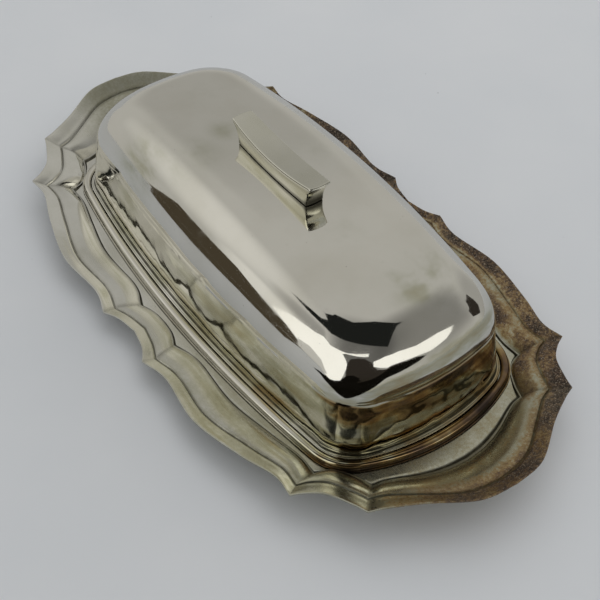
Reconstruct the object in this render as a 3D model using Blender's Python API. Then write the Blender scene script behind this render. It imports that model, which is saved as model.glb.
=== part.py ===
"""Covered butter dish in silver plate: scalloped tray, domed lid with a bar handle, glass liner.

Frame: X along the dish, Y across it, Z up. The origin is on the table under the middle of
the tray. Lengths in this script are millimetres and become metres when a mesh is written.
"""
import math

import bmesh
import bpy
import numpy as np

MM = 0.001
GAP = 0.3                      # clearance kept between pieces that touch

# Tray: outlines of one quarter, from the end (y = 0) to the middle of the side (x = 0).
# Every outline is four runs that meet in points: end lobe, corner bite, side lobe, side bite.
RIM_OUTLINE = (
    ((105.4, 0.0), (104.7, 7.5), (102.5, 13.0), (96.0, 22.6), (91.6, 31.0), (90.0, 35.1)),
    ((90.0, 35.1), (86.1, 36.5), (79.4, 39.8), (75.8, 44.0), (74.0, 47.6)),
    ((74.0, 47.6), (66.5, 47.1), (55.2, 50.7), (38.0, 54.4), (21.0, 52.9), (11.6, 55.1)),
    ((11.6, 55.1), (7.0, 52.6), (0.0, 51.2)),
)
CREASE_OUTLINE = (
    ((100.7, 0.0), (99.8, 6.6), (97.6, 12.4), (91.8, 20.6), (87.3, 27.0), (85.6, 31.4)),
    ((85.6, 31.4), (81.6, 33.0), (75.8, 36.1), (72.6, 40.0), (71.2, 43.6)),
    ((71.2, 43.6), (64.4, 43.3), (53.6, 46.3), (37.5, 50.1), (21.5, 49.0), (12.0, 50.9)),
    ((12.0, 50.9), (6.6, 48.9), (0.0, 47.6)),
)
LAND_OUTLINE = (
    ((88.0, 0.0), (87.3, 6.6), (85.3, 13.4), (82.6, 19.4), (81.2, 23.0), (80.8, 26.0)),
    ((80.8, 26.0), (76.8, 27.4), (72.0, 30.2), (69.9, 33.0), (69.0, 36.2)),
    ((69.0, 36.2), (62.0, 36.1), (51.4, 38.6), (36.5, 41.5), (18.5, 41.0), (9.7, 43.7)),
    ((9.7, 43.7), (5.2, 41.9), (0.0, 41.4)),
)
RUN_SAMPLES = (8, 6, 10, 3)    # facets along each run of one quarter

SHEET = 1.0                    # thickness of the tray and of the lid
LAND_Z = 4.0                   # flat land that the lid stands on
RIM_SIDE_Z = 6.5               # the rim's height at the middle of the side
RIM_SWEEP = 5.4                # how much higher the rim is at SWEEP_X
SWEEP_X = 90.0
CREASE_RISE = 0.68             # how much of the border's rise lies inside the crease

# Plan shapes with bowed sides: half length, half width, bow of the side, bow of the end, corner.
WALL_PLAN = (75.8, 34.7, 6.4, 7.6, 12.9)
BEAD_PLAN = (81.2, 39.4, 8.2, 12.6, 15.0)
WELL_PLAN = (71.5, 31.0, 7.6, 9.4, 11.0)
LINER_PLAN = (68.0, 27.8, 6.6, 5.4, 9.0)

# Lid
LID_HEIGHT = 39.0              # from the land to the top of the dome
WALL_FOOT = 3.2                # height above the land where the straight wall starts
WALL_TOP = 18.7                # height above the land where the shoulder starts
WALL_DRAFT = 0.13
SHOULDER_START = WALL_DRAFT * (WALL_TOP - WALL_FOOT)
SHOULDER_WIDTH = 17.6
END_EASE = 2.0                 # how much narrower the shoulder is at the ends
CORNER_GROWTH = 0.35           # growth of the plan's corner radius with every step inwards
CROWN = 1.9                    # rise of the top across the lid
TOP_INSET = 31.0               # inset of the last ring before the middle line
TOP_SAG = 0.25                 # share of its rise over the wall that the top loses at the ends
FOOT_SHARE = 0.29              # the turned-out foot covers this much of the way to the bead's rim
BEAD_SHARE = 0.36              # the bead starts here, a hair's gap further out

# Handle, as half length, half width in the middle, half width at the ends, bulge of the ends
HANDLE_TOP = (19.3, 4.2, 3.5, 0.8)
HANDLE_FOOT = (16.9, 3.6, 2.9, 0.4)
HANDLE_SAG = 1.9               # how much lower the top is in its middle than at its ends
HANDLE_TOP_Z = 50.8

# Fasteners of the handle
SCREW_X = 10.0
SHANK_R = 1.0
HOLE_R = SHANK_R + GAP + 0.05
HEAD_R = 2.3
HEAD_H = 1.5
WASHER_R = 3.5
WASHER_H = 0.6
SCREW_REACH = 3.2              # how far the shank goes into the handle

# Liner
LINER_WALL = 2.3
LINER_HEIGHT = 9.2


def clear_scene():
    for item in list(bpy.data.objects):
        bpy.data.objects.remove(item, do_unlink=True)


def metal(name, colour, roughness, metallic=1.0):
    material = bpy.data.materials.new(name)
    material.use_nodes = True
    shader = material.node_tree.nodes["Principled BSDF"]
    shader.inputs["Base Color"].default_value = (*colour, 1.0)
    shader.inputs["Roughness"].default_value = roughness
    shader.inputs["Metallic"].default_value = metallic
    return material


def glass(name):
    material = metal(name, (0.93, 0.96, 0.95), 0.04, 0.0)
    shader = material.node_tree.nodes["Principled BSDF"]
    shader.inputs["Transmission Weight"].default_value = 1.0
    shader.inputs["IOR"].default_value = 1.5
    return material


def smooth_run(points, count):
    """Catmull-Rom curve through the points, sampled evenly along its length."""
    knots = np.array(points, dtype=float)
    before = 2 * knots[0] - knots[1]
    after = 2 * knots[-1] - knots[-2]
    padded = np.vstack([before, knots, after])
    fine = []
    for i in range(1, len(padded) - 2):
        p0, p1, p2, p3 = padded[i - 1:i + 3]
        for t in np.linspace(0.0, 1.0, 16, endpoint=False):
            fine.append(0.5 * (2 * p1 + (p2 - p0) * t + (2 * p0 - 5 * p1 + 4 * p2 - p3) * t ** 2
                               + (3 * p1 - p0 - 3 * p2 + p3) * t ** 3))
    fine.append(knots[-1])
    fine = np.array(fine)
    length = np.concatenate([[0.0], np.cumsum(np.linalg.norm(np.diff(fine, axis=0), axis=1))])
    at = np.linspace(0.0, length[-1], count + 1)
    return np.stack([np.interp(at, length, fine[:, k]) for k in (0, 1)], axis=1)


def close_quarter(quarter):
    """Full counter-clockwise outline from a quarter that runs from +X to +Y."""
    second = quarter[::-1] * (-1, 1)
    third = quarter * (-1, -1)
    fourth = quarter[::-1] * (1, -1)
    return np.vstack([quarter, second[1:], third[1:], fourth[1:-1]])


def scalloped(outline):
    runs = [smooth_run(points, count)[:-1] for points, count in zip(outline, RUN_SAMPLES)]
    runs.append(np.array([outline[-1][-1]]))
    return close_quarter(np.vstack(runs))


def bowed(plan, samples=8):
    """Oblong with bowed sides and ends and round corners, as a closed outline."""
    length, width, side_bow, end_bow, corner = plan
    side_r = length ** 2 / (2 * side_bow)
    end_r = width ** 2 / (2 * end_bow)
    side_c = np.array([0.0, width - side_r])
    end_c = np.array([length - end_r, 0.0])
    to_side = side_r - corner
    to_end = end_r - corner
    span = end_c - side_c
    gap = np.hypot(*span)
    along = (to_side ** 2 - to_end ** 2 + gap ** 2) / (2 * gap)
    off = math.sqrt(max(to_side ** 2 - along ** 2, 0.0))
    normal = np.array([-span[1], span[0]]) / gap
    corner_c = max((side_c + span * along / gap + normal * s * off for s in (1, -1)), key=sum)

    def arc(centre, radius, start, stop):
        angles = np.linspace(start, stop, samples, endpoint=False)
        return centre + radius * np.stack([np.cos(angles), np.sin(angles)], axis=1)

    end_stop = math.atan2(*(corner_c - end_c)[::-1])
    side_start = math.atan2(*(corner_c - side_c)[::-1])
    quarter = np.vstack([
        arc(end_c, end_r, 0.0, end_stop),
        arc(corner_c, corner, end_stop, side_start),
        arc(side_c, side_r, side_start, math.pi / 2),
        [[0.0, width]],
    ])
    return close_quarter(quarter)


def inset(plan, amount, corner_growth=0.0):
    """The same plan moved inwards, its bows shrinking with it."""
    length, width, side_bow, end_bow, corner = plan
    small = max(1.0 - amount / width, 0.05)
    new_width = width - amount
    new_corner = min(corner + corner_growth * amount, 0.62 * new_width)
    return (length - amount, new_width, side_bow * small, end_bow * small, new_corner)


def follow(plan, guide):
    """Points of a bowed plan in the same directions as the points of a guide outline."""
    outline = bowed(plan, 24)
    stretch = np.array([plan[0], plan[1]])
    angle = np.arctan2(*(outline / stretch).T[::-1])
    order = np.argsort(angle)
    radius = np.hypot(*(outline / stretch).T)
    wanted = np.arctan2(*(guide / stretch).T[::-1])
    reach = np.interp(wanted, angle[order], radius[order], period=2 * math.pi)
    return np.stack([np.cos(wanted) * reach, np.sin(wanted) * reach], axis=1) * stretch


def ring(outline, height):
    heights = np.broadcast_to(np.asarray(height, dtype=float), (len(outline),))
    return np.column_stack([outline, heights])


def add_mesh(name, vertices, faces, material, sharp_degrees=35.0):
    mesh = bpy.data.meshes.new(name)
    mesh.from_pydata([tuple(float(c) * MM for c in v) for v in vertices], [], faces)
    work = bmesh.new()
    work.from_mesh(mesh)
    bmesh.ops.recalc_face_normals(work, faces=work.faces)
    work.to_mesh(mesh)
    work.free()
    mesh.shade_smooth()
    mesh.set_sharp_from_angle(angle=math.radians(sharp_degrees))
    mesh.materials.append(material)
    item = bpy.data.objects.new(name, mesh)
    bpy.context.scene.collection.objects.link(item)
    return item


def cap(first, count):
    """Strips across a ring that starts on the +X axis and mirrors about it."""
    faces = [(first, first + 1, first + count - 1)]
    for i in range(1, count // 2 - 1):
        faces.append((first + i, first + i + 1, first + count - i - 1, first + count - i))
    middle = first + count // 2
    faces.append((middle - 1, middle, middle + 1))
    return faces


def loft(name, rings, material, closed_loop=False, sharp_degrees=35.0):
    """Skin over rings of equal length, capped at both ends or closed into a loop."""
    count = len(rings[0])
    vertices = np.vstack(rings)
    faces = []
    steps = len(rings) if closed_loop else len(rings) - 1
    for k in range(steps):
        low = k * count
        high = ((k + 1) % len(rings)) * count
        for i in range(count):
            j = (i + 1) % count
            faces.append((low + i, low + j, high + j, high + i))
    if not closed_loop:
        faces += cap(0, count)
        faces += cap(len(vertices) - count, count)
    return add_mesh(name, vertices, faces, material, sharp_degrees)


def rim_height(outline):
    return RIM_SIDE_Z + RIM_SWEEP * (np.abs(outline[:, 0]) / SWEEP_X) ** 2


def build_tray(material):
    rim = scalloped(RIM_OUTLINE)
    crease = scalloped(CREASE_OUTLINE)
    land = scalloped(LAND_OUTLINE)
    seat = follow(BEAD_PLAN, land)
    well = follow(WELL_PLAN, land)
    well_floor = follow(inset(WELL_PLAN, 1.0), land)
    rise = rim_height(rim) - LAND_Z
    land_edge = LAND_Z + 0.5
    crease_z = LAND_Z + CREASE_RISE * rise

    def cove(part, share):
        """A line of the border between the land (part 0) and the crease (part 1)."""
        return ring(land + part * (crease - land), land_edge + share * (crease_z - land_edge))

    def flange(part, lift):
        return ring(crease + part * (rim - crease), crease_z + lift * (LAND_Z + rise - crease_z))

    top = [
        ring(well_floor, SHEET),
        ring(well, LAND_Z),
        ring(land + 0.45 * (seat - land), LAND_Z),
        ring(land, land_edge),
        cove(0.18, 0.30),
        cove(0.38, 0.56),
        cove(0.60, 0.78),
        cove(0.84, 0.94),
        ring(crease, crease_z - 0.3),
        flange(0.22, 0.30),
        flange(0.98, 1.0),
    ]
    bottom = [
        ring(rim, LAND_Z + rise - 0.35),
        ring(crease + 0.97 * (rim - crease), LAND_Z + rise - 0.8),
        ring(crease, crease_z - 0.3 - SHEET),
        ring(land + 0.38 * (crease - land), land_edge + 0.56 * (crease_z - land_edge) - SHEET),
        ring(land, LAND_Z - SHEET),
        ring(follow(inset(WELL_PLAN, -SHEET), land), LAND_Z - SHEET),
        ring(well, 0.0),
    ]
    return loft("tray", top + bottom, material)


def lid_profile(steps):
    """Inset and height above the land of the lid's outside, from the wall's foot to the top."""
    shoulder_height = LID_HEIGHT - CROWN - WALL_TOP
    points = [(0.0, WALL_FOOT), (SHOULDER_START, WALL_TOP)]
    for k in range(1, steps + 1):
        turn = 0.5 * math.pi * k / steps
        points.append((SHOULDER_START + SHOULDER_WIDTH * (1 - math.cos(turn)),
                       WALL_TOP + shoulder_height * math.sin(turn)))
    points.append((TOP_INSET, LID_HEIGHT - CROWN))
    crowned = []
    for amount, height in points:
        part = max(amount - SHOULDER_START, 0.0) / (TOP_INSET - SHOULDER_START)
        crowned.append((amount, height + CROWN * (1 - (1 - part) ** 2)))
    return crowned


def top_sag(x, height):
    """How far the lid's surface has dropped at x, for a height above the land in its middle."""
    return TOP_SAG * max(height - WALL_TOP, 0.0) * (x / WALL_PLAN[0]) ** 2


def lid_ring(amount, height, thickness=0.0):
    """One level of the lid's outside, or of its inside when a thickness is given."""
    length, *others = inset(WALL_PLAN, amount + thickness, CORNER_GROWTH)
    length += END_EASE * min(max(amount - SHOULDER_START, 0.0) / SHOULDER_WIDTH, 1.0)
    outline = bowed((length, *others), 6)
    return ring(outline, LAND_Z + height - thickness - top_sag(outline[:, 0], height))


def foot_ring(share, height):
    """A ring between the wall's outline and the bead's rim."""
    wall = bowed(WALL_PLAN, 6)
    return ring(wall + share * (bowed(BEAD_PLAN, 6) - wall), LAND_Z + height)


def build_lid_shell(material):
    profile = lid_profile(7)
    foot = [foot_ring(FOOT_SHARE, GAP), foot_ring(FOOT_SHARE, 1.6), foot_ring(0.14, 2.2)]
    outer = foot + [lid_ring(amount, height) for amount, height in profile]
    inner = [lid_ring(0.0, GAP + SHEET, SHEET)]
    inner += [lid_ring(amount, height, SHEET) for amount, height in profile]
    return loft("lid_shell", inner[::-1] + outer, material)


def build_lid_bead(material):
    """Half-round wire around the lid's foot."""
    section = ((0.0, GAP), (0.9, GAP), (1.0, 0.9), (0.8, 1.9), (0.4, 2.5), (0.0, 1.9))
    rings = [foot_ring(BEAD_SHARE + reach * (1 - BEAD_SHARE), height) for reach, height in section]
    return loft("lid_bead", rings, material, closed_loop=True)


def bar_outline(size, samples=9):
    """Boat-shaped outline of the handle: widest in the middle, with two blunt ends."""
    length, middle, end, bulge = size
    x = np.linspace(length, -length, samples)
    side = end + (middle - end) * (1 - (x / length) ** 2)
    upper = np.column_stack([x, side])
    lower = np.column_stack([x[::-1], -side[::-1]])
    return np.vstack([[[length + bulge, 0.0]], upper, [[-length - bulge, 0.0]], lower])


def bar_top(x):
    """Height of the handle's top, which dips between its two ends."""
    return HANDLE_TOP_Z - HANDLE_SAG * (1 - np.minimum((x / HANDLE_TOP[0]) ** 2, 1.0))


def build_handle(material):
    foot_z = LAND_Z + LID_HEIGHT + GAP
    foot = bar_outline(HANDLE_FOOT)
    top = bar_outline(HANDLE_TOP)
    foot_height = foot_z - top_sag(foot[:, 0], LID_HEIGHT)
    top_height = bar_top(top[:, 0])
    rings = []
    for part, reach in ((0.0, 0.0), (0.2, 0.04), (0.45, 0.18), (0.7, 0.46), (0.9, 0.85), (0.97, 1.0)):
        outline = foot + reach * (top - foot)
        rings.append(ring(outline, foot_height + part * (top_height - foot_height)))
    for share in (0.975, 0.5):
        inner = top * share
        rings.append(ring(inner, bar_top(inner[:, 0])))
    handle = loft("handle", rings, material)
    for x in (-SCREW_X, SCREW_X):
        bore(handle, x, foot_z - 1.0, foot_z + SCREW_REACH + GAP)
    return handle


def cutter(name, radius, x, low, high):
    """Hidden cylinder used to cut a hole."""
    work = bmesh.new()
    bmesh.ops.create_cone(work, cap_ends=True, segments=16, radius1=radius * MM,
                          radius2=radius * MM, depth=(high - low) * MM)
    mesh = bpy.data.meshes.new(name)
    work.to_mesh(mesh)
    work.free()
    item = bpy.data.objects.new(name, mesh)
    item.location = (x * MM, 0.0, 0.5 * (low + high) * MM)
    item.hide_render = True
    item.display_type = "WIRE"
    bpy.context.scene.collection.objects.link(item)
    return item


def bore(item, x, low, high):
    """Cut a round vertical hole for a handle screw."""
    side = "left" if x < 0 else "right"
    cut = item.modifiers.new("hole_" + side, "BOOLEAN")
    cut.operation = "DIFFERENCE"
    cut.solver = "EXACT"
    cut.object = cutter(item.name + "_cutter_" + side, HOLE_R, x, low, high)


def circle(radius, x, segments=16):
    angles = np.arange(segments) * 2 * math.pi / segments
    return np.column_stack([x + radius * np.cos(angles), radius * np.sin(angles)])


def build_fasteners(side, x, washer_material, screw_material):
    """One washer and one slotted screw, seen from inside the lid."""
    ceiling = LAND_Z + LID_HEIGHT - SHEET - top_sag(SCREW_X + WASHER_R, LID_HEIGHT)
    washer_top = ceiling - GAP
    washer_bottom = washer_top - WASHER_H
    outer = circle(WASHER_R, x)
    inner = circle(HOLE_R, x)
    loft("washer_" + side, [ring(outer, washer_bottom), ring(outer, washer_top),
                            ring(inner, washer_top), ring(inner, washer_bottom)],
         washer_material, closed_loop=True)
    head_top = washer_bottom - GAP
    shank_top = LAND_Z + LID_HEIGHT + GAP + SCREW_REACH
    screw = loft("screw_" + side, [
        ring(circle(HEAD_R * 0.7, x), head_top - HEAD_H),
        ring(circle(HEAD_R, x), head_top - 0.6 * HEAD_H),
        ring(circle(HEAD_R, x), head_top),
        ring(circle(SHANK_R, x), head_top),
        ring(circle(SHANK_R, x), shank_top - 0.5),
        ring(circle(SHANK_R * 0.6, x), shank_top),
    ], screw_material)
    slot = bpy.data.meshes.new("slot_" + side)
    work = bmesh.new()
    bmesh.ops.create_cube(work, size=1.0)
    bmesh.ops.scale(work, verts=work.verts, vec=(3 * HEAD_R * MM, 0.6 * MM, HEAD_H * MM))
    work.to_mesh(slot)
    work.free()
    blade = bpy.data.objects.new("slot_cutter_" + side, slot)
    blade.location = (x * MM, 0.0, (head_top - 1.1 * HEAD_H) * MM)
    blade.hide_render = True
    blade.display_type = "WIRE"
    bpy.context.scene.collection.objects.link(blade)
    cut = screw.modifiers.new("slot", "BOOLEAN")
    cut.operation = "DIFFERENCE"
    cut.solver = "EXACT"
    cut.object = blade


def build_liner(material):
    base_z = SHEET + GAP
    top_z = base_z + LINER_HEIGHT
    floor_z = base_z + LINER_WALL

    def level(amount, height):
        return ring(bowed(inset(LINER_PLAN, amount), 5), height)

    rings = [
        level(2.4, base_z),
        level(1.2, base_z + 0.8),
        level(0.0, top_z - 0.8),
        level(0.5, top_z),
        level(LINER_WALL - 0.5, top_z),
        level(LINER_WALL + 0.1, top_z - 0.8),
        level(LINER_WALL + 0.9, floor_z + 1.2),
        level(LINER_WALL + 2.1, floor_z),
    ]
    return loft("glass_liner", rings, material)


def main():
    clear_scene()
    tray_silver = metal("tray_silver", (0.66, 0.63, 0.56), 0.16)
    lid_silver = metal("lid_silver", (0.74, 0.73, 0.70), 0.08)
    bead_silver = metal("bead_silver", (0.70, 0.68, 0.64), 0.12)
    handle_silver = metal("handle_silver", (0.70, 0.68, 0.62), 0.18)
    steel = metal("screw_steel", (0.50, 0.50, 0.50), 0.35)
    brass = metal("washer_brass", (0.72, 0.58, 0.30), 0.35)
    clear_glass = glass("liner_glass")

    build_tray(tray_silver)
    lid_shell = build_lid_shell(lid_silver)
    build_lid_bead(bead_silver)
    build_handle(handle_silver)
    roof = LAND_Z + LID_HEIGHT
    for side, x in (("left", -SCREW_X), ("right", SCREW_X)):
        bore(lid_shell, x, roof - 3 * SHEET, roof + SHEET)
        build_fasteners(side, x, brass, steel)
    build_liner(clear_glass)


main()
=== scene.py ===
"""Looks of a silver-plated covered butter dish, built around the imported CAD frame.

The tray, lid, bead, handle and liner are rebuilt here at full resolution on the CAD's own
outlines. Lengths are millimetres until a mesh is written. The stage and camera are in metres.
"""
import math

import bmesh
import bpy
import numpy as np
from mathutils import Matrix, Vector
from mathutils.geometry import tessellate_polygon


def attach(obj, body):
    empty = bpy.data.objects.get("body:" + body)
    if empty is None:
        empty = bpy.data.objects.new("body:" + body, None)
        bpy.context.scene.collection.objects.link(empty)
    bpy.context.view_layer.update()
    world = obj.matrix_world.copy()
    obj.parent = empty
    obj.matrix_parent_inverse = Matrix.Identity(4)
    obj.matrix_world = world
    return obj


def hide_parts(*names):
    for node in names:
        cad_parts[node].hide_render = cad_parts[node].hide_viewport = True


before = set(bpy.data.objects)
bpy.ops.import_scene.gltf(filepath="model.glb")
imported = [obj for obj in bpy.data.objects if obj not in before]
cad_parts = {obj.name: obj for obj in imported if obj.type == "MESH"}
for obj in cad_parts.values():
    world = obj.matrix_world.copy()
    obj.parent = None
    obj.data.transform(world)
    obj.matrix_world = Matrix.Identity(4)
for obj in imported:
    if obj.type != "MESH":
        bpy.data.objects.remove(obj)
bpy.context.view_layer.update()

MM = 0.001
GAP = 0.3                       # between a piece and what it stands on

# Tray: outlines of one quarter, from the end (y = 0) to the middle of the side (x = 0).
# Every outline is four runs that meet in points: end lobe, corner bite, side lobe, side bite.
RIM_OUTLINE = (
    ((105.4, 0.0), (104.7, 7.5), (102.5, 13.0), (96.0, 22.6), (91.6, 31.0), (90.0, 35.1)),
    ((90.0, 35.1), (86.1, 36.5), (79.4, 39.8), (75.8, 44.0), (74.0, 47.6)),
    ((74.0, 47.6), (66.5, 47.1), (55.2, 50.7), (38.0, 54.4), (21.0, 52.9), (11.6, 55.1)),
    ((11.6, 55.1), (7.0, 52.6), (0.0, 51.2)),
)
CREASE_OUTLINE = (
    ((100.7, 0.0), (99.8, 6.6), (97.6, 12.4), (91.8, 20.6), (87.3, 27.0), (85.6, 31.4)),
    ((85.6, 31.4), (81.6, 33.0), (75.8, 36.1), (72.6, 40.0), (71.2, 43.6)),
    ((71.2, 43.6), (64.4, 43.3), (53.6, 46.3), (37.5, 50.1), (21.5, 49.0), (12.0, 50.9)),
    ((12.0, 50.9), (6.6, 48.9), (0.0, 47.6)),
)
LAND_OUTLINE = (
    ((88.0, 0.0), (87.3, 6.6), (85.3, 13.4), (82.6, 19.4), (81.2, 23.0), (80.8, 26.0)),
    ((80.8, 26.0), (76.8, 27.4), (72.0, 30.2), (69.9, 33.0), (69.0, 36.2)),
    ((69.0, 36.2), (62.0, 36.1), (51.4, 38.6), (36.5, 41.5), (18.5, 41.0), (9.7, 43.7)),
    ((9.7, 43.7), (5.2, 41.9), (0.0, 41.4)),
)
RUN_SAMPLES = (36, 22, 44, 14)

# Tray: heights above the table. The rim rises towards the two ends.
SHEET = 1.0
LAND_Z = 4.0
STEP_RISE = 0.55
RIM_SIDE_Z = 6.5
RIM_SWEEP = 5.4
SWEEP_X = 90.0
CREASE_RISE = 0.68              # share of the border's rise that is reached at the crease
GROOVE_DROP = 0.42
CREASE_BACK = 0.3               # the pressed crease is this much thicker than the sheet
EDGE_BACK = 0.9                 # from the rim's top down to its underside

# Plan shapes with bowed sides: half length, half width, bow of the side, bow of the end, corner.
WALL_PLAN = (75.8, 34.7, 6.4, 7.6, 12.9)
BEAD_PLAN = (81.2, 39.4, 8.2, 12.6, 15.0)
WELL_PLAN = (71.5, 31.0, 7.6, 9.4, 11.0)
LINER_PLAN = (68.0, 27.8, 6.6, 5.4, 9.0)

# Lid: heights are above the tray's land.
LID_HEIGHT = 39.0
WALL_FOOT = 3.2
WALL_TOP = 18.7
WALL_DRAFT = 0.13
SHOULDER_START = WALL_DRAFT * (WALL_TOP - WALL_FOOT)
SHOULDER_WIDTH = 17.6
END_EASE = 2.0
CORNER_GROWTH = 0.35
CROWN = 1.9
TOP_INSET = 31.0
TOP_SAG = 0.25
LID_SAMPLES = 22

# Foot and bead: shares of the way from the wall's outline to the bead's rim.
FOOT_SHARE = 0.29
BEAD_SHARE = 0.345
# The bead's wire: its middle and half width as shares, the height of its centre, its rise.
BEAD_WIRE = (0.617, 0.265, 1.4, 1.02)

# Handle: half length, half width in the middle, half width at the ends, bulge of the ends.
HANDLE_TOP = (19.3, 4.2, 3.5, 0.8)
HANDLE_FOOT = (16.9, 3.6, 2.9, 0.4)
HANDLE_SAG = 1.9
HANDLE_EDGE = 0.55
HANDLE_TOP_Z = 50.8

LINER_WALL = 2.3
LINER_HEIGHT = 9.2

# Colour of the plate by how deep its tarnish is: clean, straw, gold, brown, near black.
TARNISH_STOPS = (
    (0.0, (0.90, 0.89, 0.84)), (0.14, (0.665, 0.66, 0.55)), (0.27, (0.54, 0.505, 0.36)),
    (0.42, (0.45, 0.32, 0.155)), (0.58, (0.29, 0.19, 0.10)), (0.76, (0.17, 0.118, 0.085)),
    (1.0, (0.08, 0.06, 0.05)),
)
# Near black of dried polish, also used as painted shade in creases, grooves and along contact
# lines.
DRIED_POLISH_AND_SHADE = (0.065, 0.062, 0.045)
DULL_OLIVE = (0.47, 0.465, 0.36)
WORN_BRIGHT = (0.70, 0.60, 0.48)
TRAY_SPECK = (0.16, 0.13, 0.09)
TABLE_SPECK = (0.3, 0.3, 0.3)

# Depths of bumps in the materials.
DENT_DEPTH = 0.35
TRAY_RIPPLE = 0.12
PIT_DEPTH = 0.02
SCRATCH_DEPTH = 0.003
GLASS_RIPPLE = 0.04

# Dull spots on top of the lid: x, y, radius and strength.
LID_SPOTS = ((-34.0, -28.0, 12.0, 0.13), (-47.0, 2.0, 9.0, 0.08), (53.5, 8.0, 10.0, 0.22),
             (-5.0, 14.0, 12.0, 0.07), (-20.0, -17.0, 9.0, 0.12), (-25.0, -2.5, 6.0, 0.11),
             (31.0, -1.5, 6.5, 0.14))

# Stage: metres and degrees.
LID_MIDDLE = Vector((0.0, 0.0, 0.03))
ROOM_LEVEL = 0.42               # the room as the silver reflects it
FILL_LEVEL = 0.49               # the room as it lights everything else
# Round patches of the room: azimuth, elevation, inner and outer angle, gain.
ROOM_PATCHES = (
    (217, 36, 3, 24, 1.45), (241, 19, 3, 11, 1.55), (245, 37, 2, 9, 0.70),
    (325, 56, 10, 48, 0.30), (42, 43, 16, 42, 0.50), (154, 25, 6, 26, 0.82),
    (85, 6, 6, 24, 0.75),
)
LAMP_WATTS = 12.5
LAMP_SIZE = 2.6
LAMP_AIM = (112.0, 45.0)
LAMP_DISTANCE = 1.6
FLOOR_SIZE = 12.0
MIRRORED_REACH = 0.8
MIRRORED_LIFT = 0.0002
MIRRORED_SHADE = 0.70
# Height of the two dark sheets on the table that paint shade into the silver's reflections.
SHADE_SHEET_Z = 0.001
CEILING_Z = 1.5

CAMERA_TARGET = Vector((0.0212, -0.0073, 0.0119))
CAMERA_DISTANCE = 0.3167
CAMERA_AZIMUTH = 54.06
CAMERA_ELEVATION = 46.10
CAMERA_ROLL = 1.17
CAMERA_LENS = 65.02
CAMERA_SENSOR = 36.0


# ---------------------------------------------------------------- outlines

def smooth_run(points, count):
    """Catmull-Rom curve through the points, sampled evenly along its length."""
    knots = np.array(points, dtype=float)
    before = 2 * knots[0] - knots[1]
    after = 2 * knots[-1] - knots[-2]
    padded = np.vstack([before, knots, after])
    fine = []
    for i in range(1, len(padded) - 2):
        p0, p1, p2, p3 = padded[i - 1:i + 3]
        for t in np.linspace(0.0, 1.0, 16, endpoint=False):
            fine.append(0.5 * (2 * p1 + (p2 - p0) * t + (2 * p0 - 5 * p1 + 4 * p2 - p3) * t ** 2
                               + (3 * p1 - p0 - 3 * p2 + p3) * t ** 3))
    fine.append(knots[-1])
    fine = np.array(fine)
    length = np.concatenate([[0.0], np.cumsum(np.linalg.norm(np.diff(fine, axis=0), axis=1))])
    at = np.linspace(0.0, length[-1], count + 1)
    return np.stack([np.interp(at, length, fine[:, k]) for k in (0, 1)], axis=1)


def close_quarter(quarter):
    """Full counter-clockwise outline from a quarter that runs from +X to +Y."""
    second = quarter[::-1] * (-1, 1)
    third = quarter * (-1, -1)
    fourth = quarter[::-1] * (1, -1)
    return np.vstack([quarter, second[1:], third[1:], fourth[1:-1]])


def scalloped(outline):
    """Closed outline from the four runs of one quarter, with its points kept sharp."""
    runs = [smooth_run(points, count)[:-1] for points, count in zip(outline, RUN_SAMPLES)]
    runs.append(np.array([outline[-1][-1]]))
    return close_quarter(np.vstack(runs))


def bowed(plan, samples):
    """Oblong with bowed sides and ends and round corners, as a closed outline."""
    length, width, side_bow, end_bow, corner = plan
    side_r = length ** 2 / (2 * side_bow)
    end_r = width ** 2 / (2 * end_bow)
    side_c = np.array([0.0, width - side_r])
    end_c = np.array([length - end_r, 0.0])
    to_side = side_r - corner
    to_end = end_r - corner
    span = end_c - side_c
    gap = np.hypot(*span)
    along = (to_side ** 2 - to_end ** 2 + gap ** 2) / (2 * gap)
    off = math.sqrt(max(to_side ** 2 - along ** 2, 0.0))
    normal = np.array([-span[1], span[0]]) / gap
    corner_c = max((side_c + span * along / gap + normal * s * off for s in (1, -1)), key=sum)

    def arc(centre, radius, start, stop):
        """Points along an arc, without its last one."""
        angles = np.linspace(start, stop, samples, endpoint=False)
        return centre + radius * np.stack([np.cos(angles), np.sin(angles)], axis=1)

    end_stop = math.atan2(*(corner_c - end_c)[::-1])
    side_start = math.atan2(*(corner_c - side_c)[::-1])
    quarter = np.vstack([
        arc(end_c, end_r, 0.0, end_stop),
        arc(corner_c, corner, end_stop, side_start),
        arc(side_c, side_r, side_start, math.pi / 2),
        [[0.0, width]],
    ])
    return close_quarter(quarter)


def inset(plan, amount, corner_growth=0.0):
    """The same plan moved inwards, its bows shrinking with it."""
    length, width, side_bow, end_bow, corner = plan
    small = max(1.0 - amount / width, 0.05)
    new_width = width - amount
    new_corner = min(corner + corner_growth * amount, 0.62 * new_width)
    return (length - amount, new_width, side_bow * small, end_bow * small, new_corner)


def follow(plan, guide):
    """Points of a bowed plan in the same directions as the points of a guide outline."""
    outline = bowed(plan, 60)
    stretch = np.array([plan[0], plan[1]])
    angle = np.arctan2(*(outline / stretch).T[::-1])
    order = np.argsort(angle)
    radius = np.hypot(*(outline / stretch).T)
    wanted = np.arctan2(*(guide / stretch).T[::-1])
    reach = np.interp(wanted, angle[order], radius[order], period=2 * math.pi)
    return np.stack([np.cos(wanted) * reach, np.sin(wanted) * reach], axis=1) * stretch


def ring(outline, height, polish_and_shade=0.0):
    """Points of one ring: x, y, height and how much dried polish and painted crevice shade lies
    there.
    """
    spread = [np.broadcast_to(np.asarray(value, dtype=float), (len(outline),))
              for value in (height, polish_and_shade)]
    return np.column_stack([outline, *spread])


def across(inner, outer, part):
    """The outline that lies part of the way from an inner one to an outer one."""
    return inner + part * (outer - inner)


def curve_through(points, count):
    """A smooth line through (part, height) points, as count samples; its ends stay in place."""
    return smooth_run(points, count - 1)


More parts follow.
